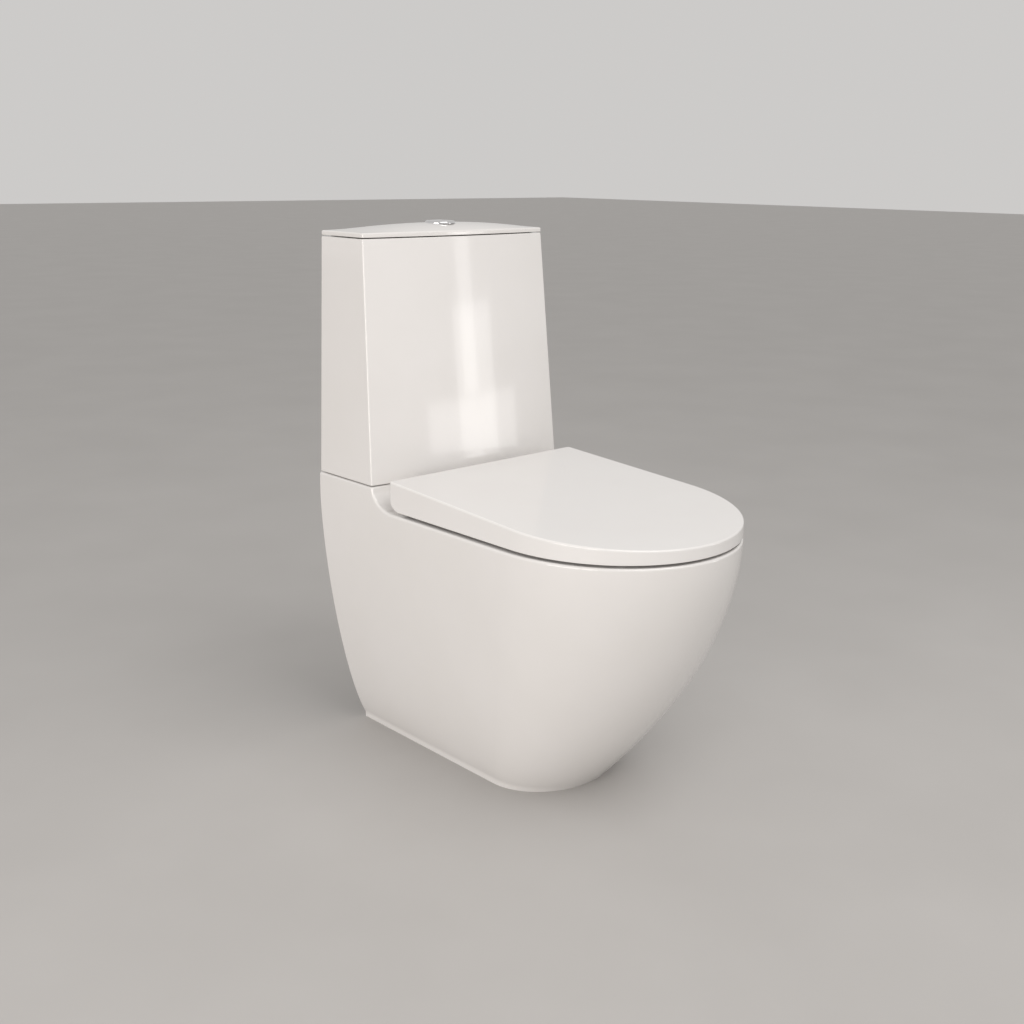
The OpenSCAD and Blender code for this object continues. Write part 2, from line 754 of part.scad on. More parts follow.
module flush_valve_head() color("gainsboro") translate([0, -valve_back, 0]) {
  difference() {
    union() {
      translate([0, 0, cage_top]) cylinder(r = 38, h = 6);
      both_sides() for (s = [-1, 1])
        block([lever_x - 6, s * 11 - 2, cage_top + 5], [lever_x + 6, s * 11 + 2, lever_z + 8]);
    }
    translate([0, 0, cage_top - cut]) cylinder(r = 17.3, h = 10);
    both_sides() bar_y(-20, 20, 2.5, lever_x, lever_z);
  }
}

module overflow_tube() color("white") translate([0, -valve_back, 0]) difference() {
  union() {
    translate([0, 0, seat_z + 4]) cylinder(r = 29, h = 4);
    translate([0, 0, seat_z + 6]) cylinder(r = 17, h = cage_top + 7 - seat_z - 6);
    translate([0, 0, seat_z + 70]) cylinder(r = 30, h = 40);
  }
  translate([0, 0, seat_z]) cylinder(r = 14, h = 300);
}

module flush_seal() color("dimgray") translate([0, -valve_back, 0])
  tube(30, 14, seat_z + 0.3, seat_z + 4);

module flush_lever(side) color("gainsboro") translate([side * lever_x, -valve_back, lever_z]) difference() {
  union() {
    block([min(0, -side * 22), -5, -3], [max(0, -side * 22), 5, 3]);
    block([min(0, side * 13), -5, -3], [max(0, side * 13), 5, 3]);
    bar_y(-8, 8, 5, 0, 0);
  }
  bar_y(-9, 9, 2.5 + run, 0, 0);
}

module half_flush_lever() flush_lever(-1);
module full_flush_lever() flush_lever(1);

module flush_lever_pins() color("silver") both_sides()
  bar_y(-valve_back - 13, -valve_back + 13, 2.5, lever_x, lever_z);

// ---------- fill valve ----------

module fill_valve_stem() color("gainsboro") translate([fill_x, fill_y, 0]) difference() {
  union() {
    translate([0, 0, fill_tail_end]) cylinder(r = fill_tail_r, h = fill_nut_z - fill_tail_end);
    translate([0, 0, fill_nut_z - eps]) cylinder(r = fill_neck_r, h = floor_z + 3 - fill_nut_z);
    translate([0, 0, floor_z + 2]) cylinder(r = 18, h = 5);
    translate([0, 0, floor_z + 6]) cylinder(r = riser_r, h = fill_head_z - floor_z - 6);
  }
  translate([0, 0, fill_tail_end - cut]) cylinder(r = 5, h = 400);
}

module fill_valve_washer() color("dimgray") translate([fill_x, fill_y, 0])
  tube(18, fill_neck_r, floor_z, floor_z + 2);

module fill_valve_nut() color("gainsboro") translate([fill_x, fill_y, 0]) difference() {
  translate([0, 0, fill_nut_z]) cylinder(r = 19, h = 12, $fn = 6);
  translate([0, 0, fill_nut_z - 1]) cylinder(r = fill_neck_r, h = 14);
}

module fill_valve_head() color("gainsboro") difference() {
  union() {
    translate([fill_x, fill_y, fill_head_z]) cylinder(r = 21, h = 24);
    for (s = [-1, 1])
      block([float_pivot_x - 5, fill_y + s * 7 - 1.5, fill_head_z + 20],
            [float_pivot_x + 5, fill_y + s * 7 + 1.5, float_lever_z + 6]);
    translate([fill_x, fill_y, fill_head_z + 23]) cylinder(r = 4, h = 5);
  }
  bar_y(fill_y - 12, fill_y + 12, 2, float_pivot_x, float_lever_z);
}

module fill_float() color("white") translate([fill_x, fill_y, 0]) difference() {
  translate([0, 0, float_z]) cylinder(r = float_r, h = float_h);
  translate([0, 0, float_z - cut]) cylinder(r = riser_r + 1, h = float_h + 2 * cut);
  tube(float_r - 3, riser_r + 4, float_z - cut, float_z + float_h - 3);
}

module float_rod() color("silver") translate([float_rod_x, fill_y, 0]) {
  top = float_lever_z - 3.4;
  translate([0, 0, float_z + float_h]) cylinder(r = 2, h = top - 2 - float_z - float_h);
  translate([0, 0, top - 2]) sphere(r = 2);
}

module float_lever() color("gainsboro") difference() {
  union() {
    block([float_pivot_x, fill_y - 4, float_lever_z - 3], [float_rod_x + 4, fill_y + 4, float_lever_z + 3]);
    bar_y(fill_y - 5, fill_y + 5, 4.5, float_pivot_x, float_lever_z);
  }
  bar_y(fill_y - 6, fill_y + 6, 2 + run, float_pivot_x, float_lever_z);
}

module float_lever_pin() color("silver") bar_y(fill_y - 8.5, fill_y + 8.5, 2, float_pivot_x, float_lever_z);

// ---------- the nodes ----------

in_place() pan();
in_place() cistern();
in_place() cistern_lid();
in_place() doughnut_washer();
in_place() coupling_bolts();
in_place() coupling_seals();
in_place() coupling_washers();
in_place() coupling_wing_nuts();
in_place() seat_cover();
in_place() cover_buffers();
in_place() cover_damper();
in_place() seat_ring();
in_place() ring_buffers();
in_place() ring_damper();
in_place() left_hinge_post();
in_place() right_hinge_post();
in_place() left_hinge_pin();
in_place() right_hinge_pin();
in_place() hinge_pads();
in_place() hinge_studs();
in_place() hinge_fixing_washers();
in_place() hinge_wing_nuts();
in_place() button_bezel();
in_place() button_guide();
in_place() button_nut();
in_place() half_flush_button();
in_place() full_flush_button();
in_place() half_push_rod();
in_place() full_push_rod();
in_place() half_button_spring();
in_place() full_button_spring();
in_place() flush_valve_base();
in_place() flush_valve_washer();
in_place() flush_valve_nut();
in_place() flush_valve_cage();
in_place() flush_valve_head();
in_place() overflow_tube();
in_place() flush_seal();
in_place() half_flush_lever();
in_place() full_flush_lever();
in_place() flush_lever_pins();
in_place() fill_valve_stem();
in_place() fill_valve_washer();
in_place() fill_valve_nut();
in_place() fill_valve_head();
in_place() fill_float();
in_place() float_rod();
in_place() float_lever();
in_place() float_lever_pin();
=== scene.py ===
# Close coupled toilet: the visible china, seat and chrome are rebuilt as fine meshes around the
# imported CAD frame, and every carried-over CAD node gets a procedural material.
# Outlines are worked in millimetres with the wall plane at y = 0, and mesh_object() converts them.
import json
import math

import bmesh
import bpy
from mathutils import Matrix, Vector


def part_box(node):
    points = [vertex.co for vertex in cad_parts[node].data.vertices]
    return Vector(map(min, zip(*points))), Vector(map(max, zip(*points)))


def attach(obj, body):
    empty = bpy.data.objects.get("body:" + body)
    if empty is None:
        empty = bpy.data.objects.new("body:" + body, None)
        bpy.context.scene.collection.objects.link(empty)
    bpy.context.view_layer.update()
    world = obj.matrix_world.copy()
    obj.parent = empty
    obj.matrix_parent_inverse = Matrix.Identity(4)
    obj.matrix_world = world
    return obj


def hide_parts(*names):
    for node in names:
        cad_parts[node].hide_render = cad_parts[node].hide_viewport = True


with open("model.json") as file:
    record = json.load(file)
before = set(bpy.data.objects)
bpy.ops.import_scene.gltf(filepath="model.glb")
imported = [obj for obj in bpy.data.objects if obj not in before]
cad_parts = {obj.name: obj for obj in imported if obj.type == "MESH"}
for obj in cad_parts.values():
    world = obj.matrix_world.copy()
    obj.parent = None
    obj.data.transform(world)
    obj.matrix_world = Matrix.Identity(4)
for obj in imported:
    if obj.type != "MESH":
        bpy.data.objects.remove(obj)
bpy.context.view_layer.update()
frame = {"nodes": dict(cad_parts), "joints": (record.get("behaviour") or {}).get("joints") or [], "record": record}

MM = 0.001
SIDES = (-1, 1)
PAST = 2.0  # how far a cutting or joining solid reaches past the surface it meets


def node_box(node):
    """A CAD node's lowest and highest corners, in millimetres."""
    lo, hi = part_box(node)
    return lo / MM, hi / MM


# ---------- sizes, read from the frame ----------

PAN_LO, PAN_HI = node_box("pan")
TANK_LO, TANK_HI = node_box("cistern")
LID_LO, LID_HI = node_box("cistern_lid")
COVER_LO, COVER_HI = node_box("seat_cover")
RING_LO, RING_HI = node_box("seat_ring")
BEZEL_LO, BEZEL_HI = node_box("button_bezel")

WALL_Y = PAN_HI.y
PROJECTION = PAN_HI.y - PAN_LO.y
RIM_HALF = PAN_HI.x
DECK_H = PAN_HI.z
RIM_H = node_box("hinge_pads")[0].z
CHINA = RIM_H - node_box("hinge_fixing_washers")[1].z
HINGE = Vector(next(j for j in frame["joints"] if j["name"] == "cover_hinge")["pos_m"]) / MM
HINGE.y -= WALL_Y

# ---------- the pan's own sizes ----------

FOOT_HALF = 111.7
FOOT_FRONT = 407.8
FOOT_SIDE = 315.0
RIM_SIDE = 406.0
WAIST_HALF = 105.0
HALF_SWELL = (1.54, 1.37)
FRONT_SWELL = (1.835, 0.964)
SIDE_SWELL = (1.906, 1)
DECK_FRONT = 131.5
DECK_TAPER = 0.5
DECK_CORNER = 3.0
DECK_SWEEP = 46.0
DECK_EDGE = 3.6

BOWL_HALF = 140.0
BOWL_BACK = 218.0
BOWL_FRONT = PROJECTION - 37.0
BOWL_DEPTH = 328.0
SUMP_HALF = 42.0
SUMP_BACK = 270.0
SUMP_FRONT = 366.0

DUCT_HALF = 46.0
DUCT_FLOOR = 345.0
TRAP_WALL = 9.0
OUTLET_END = -95.0

# ---------- places and radii of holes, bores and fixings ----------

VALVE_BACK = WALL_Y - (BEZEL_LO.y + BEZEL_HI.y) / 2
BUTTON_SEAT_Z = LID_HI.z - 1.3
FILL_LO, FILL_HI = node_box("fill_valve_nut")
FILL_X = (FILL_LO.x + FILL_HI.x) / 2
FILL_Y = (FILL_LO.y + FILL_HI.y) / 2 - WALL_Y
COUPLING_X = 77.0
COUPLING_HOLE_R = 6.0
LUG_X, LUG_Y = 85.0, -80.0
LUG_NEAR, LUG_FAR, LUG_REACH, LUG_T = 68.0, 105.0, 20.0, 12.0
WALL_HOLE_X, WALL_HOLE_Z = 70.0, 735.0
SCREW_HOLE_R = 4.5

HINGE_X = 77.5
STUD_HOLE_R = 7.0
HINGE_FLAT_R = 13.5
HINGE_FLAT_H = 11.0
KNUCKLE_NEAR, KNUCKLE_FAR = 9.5, 26.5  # from the hinge post's middle, like the bores
BORE_NEAR, BORE_FAR = 9.0, 30.0
PIN_BORE_R = 5.05
DAMPER_BORE_R = 8.5


# ---------- mesh tools ----------


def mesh_object(name, points, faces):
    """A mesh object from points in millimetres measured from the wall plane."""
    mesh = bpy.data.meshes.new(name)
    mesh.from_pydata([(x * MM, (y + WALL_Y) * MM, z * MM) for x, y, z in points], [], faces)
    mesh.validate()
    mesh.update()
    obj = bpy.data.objects.new(name, mesh)
    bpy.context.scene.collection.objects.link(obj)
    return obj


def strip_cap(n, start, flip):
    """Faces that close a ring whose point i mirrors point n - 1 - i."""
    faces = []
    for i in range(n // 2):
        face = [start + k for k in dict.fromkeys((i, i + 1, n - 2 - i, n - 1 - i))]
        if len(set(face)) >= 3:
            faces.append(face[::-1] if flip else face)
    return faces


def crowned_cap(ring, start, first_free, height, steps=44):
    """Points and faces that close a mirrored ring with rows across it, lifted to height(x, y)."""
    n = len(ring)
    rows, points = [], []
    for i in range(n // 2):
        x, y, _ = ring[i]
        row = [start + i]
        for k in range(1, steps):
            across = lerp(x, -x, k / steps)
            row.append(first_free + len(points))
            points.append((across, y, height(across, y)))
        rows.append([*row, start + n - 1 - i])
    faces = [(a[k], b[k], b[k + 1], a[k + 1]) for a, b in zip(rows, rows[1:]) for k in range(steps)]
    tip = start + n // 2
    faces += [(rows[-1][k], tip, rows[-1][k + 1]) for k in range(steps)]
    return points, faces


def loft(name, rings, fan=False, crown_height=None):
    """A closed solid through rings of points that run clockwise seen from above, from the bottom up.

    Its ends are closed by one face each (fan), by strips across, or on top by rows that follow crown_height.
    """
    n = len(rings[0])
    points = [p for ring in rings for p in ring]
    faces = []
    for k in range(len(rings) - 1):
        for i in range(n):
            a, b = k * n + i, k * n + (i + 1) % n
            faces.append((b, b + n, a + n, a))
    top = (len(rings) - 1) * n
    if fan:
        faces.append(tuple(range(n - 1, -1, -1)))
        faces.append(tuple(range(top, top + n)))
    else:
        faces += strip_cap(n, 0, True)
        if crown_height:
            more_points, more_faces = crowned_cap(rings[-1], top, len(points), crown_height)
            points += more_points
            faces += more_faces
        else:
            faces += strip_cap(n, top, False)
    obj = mesh_object(name, points, faces)
    outward(obj)
    return obj


def block(low, high):
    """A box between two corners."""
    (x0, y0, z0), (x1, y1, z1) = low, high
    ring = [(x1, y1), (x1, y0), (x0, y0), (x0, y1)]
    return loft("block", [[(x, y, z) for x, y in ring] for z in (z0, z1)], fan=True)


def side_block(side, near, far, low, high):
    """A box on one side, between two distances from the middle and two (y, z) corners."""
    x0, x1 = sorted((side * near, side * far))
    return block((x0, *low), (x1, *high))


def drum(x, y, z0, z1, r, sides=64):
    """An upright cylinder."""
    turns = [-math.tau * i / sides for i in range(sides)]
    ring = [(x + r * math.cos(a), y + r * math.sin(a)) for a in turns]
    return loft("drum", [[(u, v, z) for u, v in ring] for z in (z0, z1)], fan=True)


def prism_x(outline, half):
    """An outline of (y, z) points, anticlockwise seen from +X, drawn out to x = -half and x = +half."""
    n = len(outline)
    points = [(side, y, z) for side in (-half, half) for y, z in outline]
    faces = [(i, (i + 1) % n, n + (i + 1) % n, n + i)[::-1] for i in range(n)]
    faces += [tuple(range(n - 1, -1, -1)), tuple(range(n, 2 * n))]
    obj = mesh_object("prism", points, faces)
    outward(obj)
    return obj


def tube_along(path, sides=48):
    """A closed tube along (y, z, dy, dz, radius) stations in the plane x = 0."""
    turns = [math.tau * i / sides for i in range(sides)]
    rings = []
    for y, z, dy, dz, r in path:
        length = math.hypot(dy, dz)
        ny, nz = -dz / length, dy / length
        rings.append([(r * math.cos(a), y + ny * r * math.sin(a), z + nz * r * math.sin(a)) for a in turns])
    n = sides
    points = [p for ring in rings for p in ring]
    faces = [(k * n + i, k * n + (i + 1) % n, (k + 1) * n + (i + 1) % n, (k + 1) * n + i)
             for k in range(len(rings) - 1) for i in range(n)]
    faces += [tuple(range(n - 1, -1, -1)), tuple((len(rings) - 1) * n + i for i in range(n))]
    obj = mesh_object("tube", points, faces)
    outward(obj)
    return obj


def outward(obj):
    """Turns a closed mesh's faces to point outwards."""
    bm = bmesh.new()
    bm.from_mesh(obj.data)
    bmesh.ops.recalc_face_normals(bm, faces=bm.faces)
    bm.to_mesh(obj.data)
    bm.free()


def combine(obj, others, operation):
    """Adds or cuts closed solids, and removes them."""
    for other in others:
        modifier = obj.modifiers.new("combine", "BOOLEAN")
        modifier.operation = operation
        modifier.object = other
        modifier.solver = "MANIFOLD"
        apply_modifiers(obj)
        bpy.data.objects.remove(other)


def apply_modifiers(obj):
    """Replaces an object's mesh with what its modifiers make of it."""
    graph = bpy.context.evaluated_depsgraph_get()
    graph.update()
    made = bpy.data.meshes.new_from_object(obj.evaluated_get(graph))
    obj.modifiers.clear()
    old = obj.data
    obj.data = made
    bpy.data.meshes.remove(old)


def smooth(obj, angle=32):
    """Smooth shading that keeps edges sharper than the angle in degrees, and keeps flat faces flat."""
    for polygon in obj.data.polygons:
        polygon.use_smooth = True
    obj.data.set_sharp_from_angle(angle=math.radians(angle))
    weighted = obj.modifiers.new("normals", "WEIGHTED_NORMAL")
    weighted.keep_sharp = True
    weighted.weight = 80


def finish_piece(obj, name, body, material, node, angle=32):
    """Names, shades and dresses a piece, puts it on its body and lets it stand in for a CAD node."""
    obj.name = name
    obj.data.name = name
    smooth(obj, angle)
    obj.data.materials.clear()
    obj.data.materials.append(material)
    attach(obj, body)
    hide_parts(node)


def arc(steps, start=0.0, end=90.0):
    """Cosines and sines of evenly spaced angles in degrees."""
    angles = [math.radians(start + (end - start) * i / steps) for i in range(steps + 1)]
    return [(math.cos(a), math.sin(a)) for a in angles]


def lerp(a, b, t):
    return a + (b - a) * t


# ---------- materials ----------


def new_material(name):
    """A node material with its nodes, links and main shader."""
    material = bpy.data.materials.new(name)
    material.use_nodes = True
    nodes, links = material.node_tree.nodes, material.node_tree.links
    return material, nodes, links, nodes["Principled BSDF"]


def noise_node(nodes, links, scale, detail=3.0):
    """Noise fixed to the object."""
    place = nodes.new("ShaderNodeTexCoord")
    noise = nodes.new("ShaderNodeTexNoise")
    noise.inputs["Scale"].default_value = scale
    noise.inputs["Detail"].default_value = detail
    links.new(place.outputs["Object"], noise.inputs["Vector"])
    return noise


def ramp_node(nodes, links, source, low, high, start=0.3, end=0.7):
    """A blend between two colours that follows the source."""
    ramp = nodes.new("ShaderNodeValToRGB")
    ramp.color_ramp.elements[0].position = start
    ramp.color_ramp.elements[1].position = end
    ramp.color_ramp.elements[0].color = (*low, 1)
    ramp.color_ramp.elements[1].color = (*high, 1)
    links.new(source, ramp.inputs["Fac"])
    return ramp


def range_node(nodes, links, source, low, high):
    """The source spread between two values."""
    spread = nodes.new("ShaderNodeMapRange")
    spread.inputs["To Min"].default_value = low
    spread.inputs["To Max"].default_value = high
    links.new(source, spread.inputs["Value"])
    return spread


def bump_node(nodes, links, shader, source, strength, distance):
    """A relief on the shader's normal that follows the source."""
    bump = nodes.new("ShaderNodeBump")
    bump.inputs["Strength"].default_value = strength
    bump.inputs["Distance"].default_value = distance
    links.new(source, bump.inputs["Height"])
    links.new(bump.outputs["Normal"], shader.inputs["Normal"])


def surface(name, low, high, rough, scale, bump_scale, bump_depth, metallic=0.0, coat=0.0, ior=1.5):
    """A material whose colour and roughness drift a little and whose surface has a fine relief."""
    material, nodes, links, shader = new_material(name)
    drift = noise_node(nodes, links, scale)
    colour = ramp_node(nodes, links, drift.outputs["Fac"], low, high)
    links.new(colour.outputs["Color"], shader.inputs["Base Color"])
    spread = range_node(nodes, links, drift.outputs["Fac"], *rough)
    links.new(spread.outputs["Result"], shader.inputs["Roughness"])
    relief = noise_node(nodes, links, bump_scale, 2.0)
    bump_node(nodes, links, shader, relief.outputs["Fac"], 0.3, bump_depth)
    shader.inputs["Metallic"].default_value = metallic
    shader.inputs["IOR"].default_value = ior
    shader.inputs["Coat Weight"].default_value = coat
    shader.inputs["Coat Roughness"].default_value = 0.04
    return material


GLAZE = surface(
    "glazed_china", low=(0.80, 0.78, 0.76), high=(0.82, 0.80, 0.785), rough=(0.06, 0.11),
    scale=7, bump_scale=30, bump_depth=0.00008, coat=0.35, ior=1.52)
SEAT = surface(
    "seat_moulding", low=(0.82, 0.80, 0.785), high=(0.83, 0.815, 0.80), rough=(0.09, 0.14),
    scale=9, bump_scale=60, bump_depth=0.00003, coat=0.2)
CHROME = surface(
    "polished_chrome", low=(0.76, 0.76, 0.77), high=(0.84, 0.84, 0.85), rough=(0.04, 0.10),
    scale=60, bump_scale=400, bump_depth=0.00001, metallic=1.0)
WHITE_PLASTIC = surface(
    "valve_plastic", low=(0.74, 0.74, 0.72), high=(0.80, 0.80, 0.78), rough=(0.35, 0.5),
    scale=40, bump_scale=900, bump_depth=0.00004)
BLUE_PLASTIC = surface(
    "cage_plastic", low=(0.03, 0.11, 0.30), high=(0.05, 0.15, 0.36), rough=(0.32, 0.45),
    scale=40, bump_scale=900, bump_depth=0.00004)
BLACK_RUBBER = surface(
    "seal_rubber", low=(0.018, 0.018, 0.018), high=(0.035, 0.034, 0.033), rough=(0.7, 0.9),
    scale=60, bump_scale=700, bump_depth=0.0001)
CLEAR_RUBBER = surface(
    "buffer_rubber", low=(0.60, 0.60, 0.58), high=(0.68, 0.68, 0.66), rough=(0.45, 0.6),
    scale=60, bump_scale=600, bump_depth=0.00005)
STEEL = surface(
    "zinc_steel", low=(0.52, 0.52, 0.51), high=(0.64, 0.64, 0.62), rough=(0.28, 0.45),
    scale=120, bump_scale=900, bump_depth=0.00004, metallic=1.0)
SLOT_MATERIALS = {
    "china": GLAZE,
    "seat_plastic": SEAT,
    "chrome": CHROME,
    "white_plastic": WHITE_PLASTIC,
    "blue_plastic": BLUE_PLASTIC,
    "black_rubber": BLACK_RUBBER,
    "clear_rubber": CLEAR_RUBBER,
    "steel": STEEL,
}


def dress_cad_nodes():
    """Gives each CAD node the procedural material of its slot."""
    slots = {s["node"]: s["material_slot"] for s in frame["record"]["subparts"]}
    for node, obj in frame["nodes"].items():
        obj.data.materials.clear()
        obj.data.materials.append(SLOT_MATERIALS[slots[node]])


# ---------- pan ----------


def swell(u, p, q):
    """A bulging rise from 0 to 1; the powers p and q set how early and how full it is."""
    u = min(max(u, 0.0), 1.0)
    return (1 - (1 - u) ** p) ** (1 / q)


def skin_half(z):
    """The pan's half width at a height."""
    half = max(FOOT_HALF, WAIST_HALF + (RIM_HALF - WAIST_HALF) * swell(z / RIM_H, *HALF_SWELL))
    above = max(0.0, (z - RIM_H) / (DECK_H - RIM_H))
    return half - DECK_TAPER * above * above


def skin_front(z):
    """How far the pan reaches from the wall at a height."""
    return FOOT_FRONT + (PROJECTION - FOOT_FRONT) * swell(z / RIM_H, *FRONT_SWELL)


def skin_side(z):
    """How far from the wall the pan's straight sides end and its rounded front starts."""
    return FOOT_SIDE + (RIM_SIDE - FOOT_SIDE) * swell(z / RIM_H, *SIDE_SWELL)


def top_edge():
    """The pan's upper edge seen from the side: (y, z) points with their outward normals, wall to front."""
    drop = DECK_H - RIM_H
    edge = [(-y, DECK_H, 0, 1) for y in (0, 15, 35, 60, 85, 110)]
    centre = -(DECK_FRONT - DECK_CORNER)
    edge += [(centre - DECK_CORNER * s, DECK_H - DECK_CORNER + DECK_CORNER * c, -s, c) for c, s in arc(6)]
    first = math.degrees(math.asin(DECK_CORNER / drop))
    for c, s in arc(24, first):
        length = math.hypot(drop * c, DECK_SWEEP * s)
        edge.append((-DECK_FRONT - DECK_SWEEP * (1 - c), DECK_H - drop * s,
                     -drop * c / length, DECK_SWEEP * s / length))
    start = DECK_FRONT + DECK_SWEEP
    edge += [(-lerp(start, RIM_SIDE, i / 12), RIM_H, 0, 1) for i in range(1, 13)]
    return edge


def pan_stations():
    """Right-hand columns of points, each from the floor up and over the rounded edge, wall to front."""
    levels = [0.0, 0.004, 0.012, 0.02, 0.03, 0.045, 0.065, 0.09] + [0.12 + 0.022 * i for i in range(41)]
    turn = arc(6)
    columns = []
    for y, z, ny, nz in top_edge():
        share = -y / RIM_SIDE
        yr, zr = y - DECK_EDGE * ny, z - DECK_EDGE * nz
        column = []
        for v in levels:
            h = v * zr
            column.append((skin_half(h), lerp(-share * skin_side(h), yr, v ** 6), h))
        half = skin_half(zr)
        for c, s in turn:
            column.append((half - DECK_EDGE * (1 - c), yr + DECK_EDGE * ny * s, zr + DECK_EDGE * nz * s))
        columns.append(column)
    top = RIM_H - DECK_EDGE
    for c, s in arc(48)[1:]:
        column = []
        for v in levels:
            h = v * top
            column.append((skin_half(h) * c, -skin_side(h) - (skin_front(h) - skin_side(h)) * s, h))
        half, side, front = skin_half(top), skin_side(top), skin_front(top)
        for cr, sr in turn:
            cut = DECK_EDGE * (1 - cr)
            column.append(((half - cut) * c, -side - (front - side - cut) * s, top + DECK_EDGE * sr))
        columns.append(column)
    return columns


def skin_solid():
    """The pan's outer shape, still solid."""
    right = pan_stations()
    left = [[(-x, y, z) for x, y, z in column] for column in right[-2::-1]]
    columns = right + left
    return loft("pan", [list(ring) for ring in zip(*columns)])


def skirt_hollow():
    """The hollow inside the pan's skirt, open at the floor."""
    levels = [-PAST, 0, 14, 35, 60, 90, 130, 175, 225, 275, 325, RIM_H - CHINA]
    rings = []
    for z in levels:
        half, side, front = skin_half(z) - CHINA, skin_side(z), skin_front(z) - CHINA
        right = [(half, -CHINA)] + [(half * c, -side - (front - side) * s) for c, s in arc(32)]
        rings.append([(x, y, z) for x, y in right] + [(-x, y, z) for x, y in right[-2::-1]])
    return loft("hollow", rings)


def back_opening():
    """The opening in the pan's rear wall, with a frame of china left round it."""
    frame_side, frame_top = 3.0, 6.0
    levels = [-PAST, 14, 60, 110, 175, 245, 320, RIM_H - CHINA - frame_top]
    back, front = PAST, -CHINA - PAST
    rings = []
    for z in levels:
        half = skin_half(z) - CHINA - frame_side
        rings.append([(half, back, z), (half, front, z), (-half, front, z), (-half, back, z)])
    return loft("opening", rings)


def bowl_ring(t, grow=0.0, z=None):
    """A ring round the bowl's inside at a share t of its depth, grown outwards."""
    steps = 112
    half = SUMP_HALF + (BOWL_HALF - SUMP_HALF) * (1 - t ** 2.2) ** 0.9 + grow
    back = BOWL_BACK + (SUMP_BACK - BOWL_BACK) * t * t - grow
    front = BOWL_FRONT + (SUMP_FRONT - BOWL_FRONT) * t ** 1.6 + grow
    z = RIM_H - BOWL_DEPTH * t if z is None else z
    ring = []
    for i in range(steps):
        a = -math.tau * i / steps
        ring.append((half * math.cos(a), -(back + front) / 2 + (front - back) / 2 * math.sin(a), z))
    return ring


def bowl_inside():
    """The bowl's hollow, which widens in a rounded lip where it meets the rim."""
    lip, floor_round = 7.0, 9.0
    end_grow, end_rise = 13.81, 1.4
    rings = [bowl_ring(1.0, -floor_round * (1 - c), RIM_H - BOWL_DEPTH - floor_round * s)
             for c, s in arc(5, 80, 10)]
    rings += [bowl_ring(1 - i / 44) for i in range(43)]
    rings = [r for r in rings if r[0][2] < RIM_H - lip]
    rings += [bowl_ring(0.0, lip * (1 - c), RIM_H - lip + lip * s) for c, s in arc(7, 0, 80)]
    rings.append(bowl_ring(0.0, end_grow, RIM_H + end_rise))
    return loft("bowl", rings, fan=True)


def bowl_outside():
    """The bowl's outer shape inside the skirt, still solid."""
    floor_round, rim_cover = 5.0, 6.0
    rings = [bowl_ring(1.0, CHINA - floor_round, RIM_H - BOWL_DEPTH - CHINA)]
    rings += [bowl_ring(1 - i / 20, CHINA) for i in range(20)]
    rings = [r for r in rings if r[0][2] < RIM_H - rim_cover]
    return loft("bowl_back", rings, fan=True)


def trap_path(grow, end):
    """The trap's middle line and radius, from its rounded start in the sump to the outlet's end."""
    r = 29.0 + grow
    outlet_r = 51.0 if grow else 45.0
    start, dip, low, high = -312.0, -270.0, 72.0, 180.0
    turn, weir, full = 60.0, 42.0, -148.0
    path = [(start - r * c, low, 1, 0, r * s) for c, s in arc(8, 6, 90)]
    path += [(lerp(start, dip, i / 4), low, 1, 0, r) for i in range(1, 5)]
    path += [(dip + turn * s, low + turn * (1 - c), c, s, r) for c, s in arc(14)[1:]]
    riser = dip + turn
    top = high - weir
    path += [(riser, top, 0, 1, r)]
    path += [(riser + weir * (1 - c), top + weir * s, s, c, r) for c, s in arc(14)[1:]]
    path += [(full, high, 1, 0, outlet_r), (end, high, 1, 0, outlet_r)]
    return path


def pan_holes():
    """The round holes in the deck, rim and lugs, and the flat that each hinge post stands on."""
    through = 22.0
    inlet_r, fill_hole_r, fine, coarse = 28.0, 24.0, 96, 32
    deck_low, deck_high = DECK_H - through, DECK_H + PAST
    holes = [
        drum(0, -VALVE_BACK, DUCT_FLOOR + CHINA + 2, deck_high, inlet_r, fine),
        drum(FILL_X, FILL_Y, deck_low, deck_high, fill_hole_r),
    ]
    for s in SIDES:
        holes += [
            drum(s * COUPLING_X, -VALVE_BACK, deck_low, deck_high, COUPLING_HOLE_R, coarse),
            drum(s * HINGE_X, HINGE.y, RIM_H - through, RIM_H + PAST, STUD_HOLE_R, coarse),
            drum(s * HINGE_X, HINGE.y, RIM_H, RIM_H + HINGE_FLAT_H, HINGE_FLAT_R),
            drum(s * LUG_X, LUG_Y, -PAST, LUG_T + 8, SCREW_HOLE_R, coarse),
        ]
    return holes


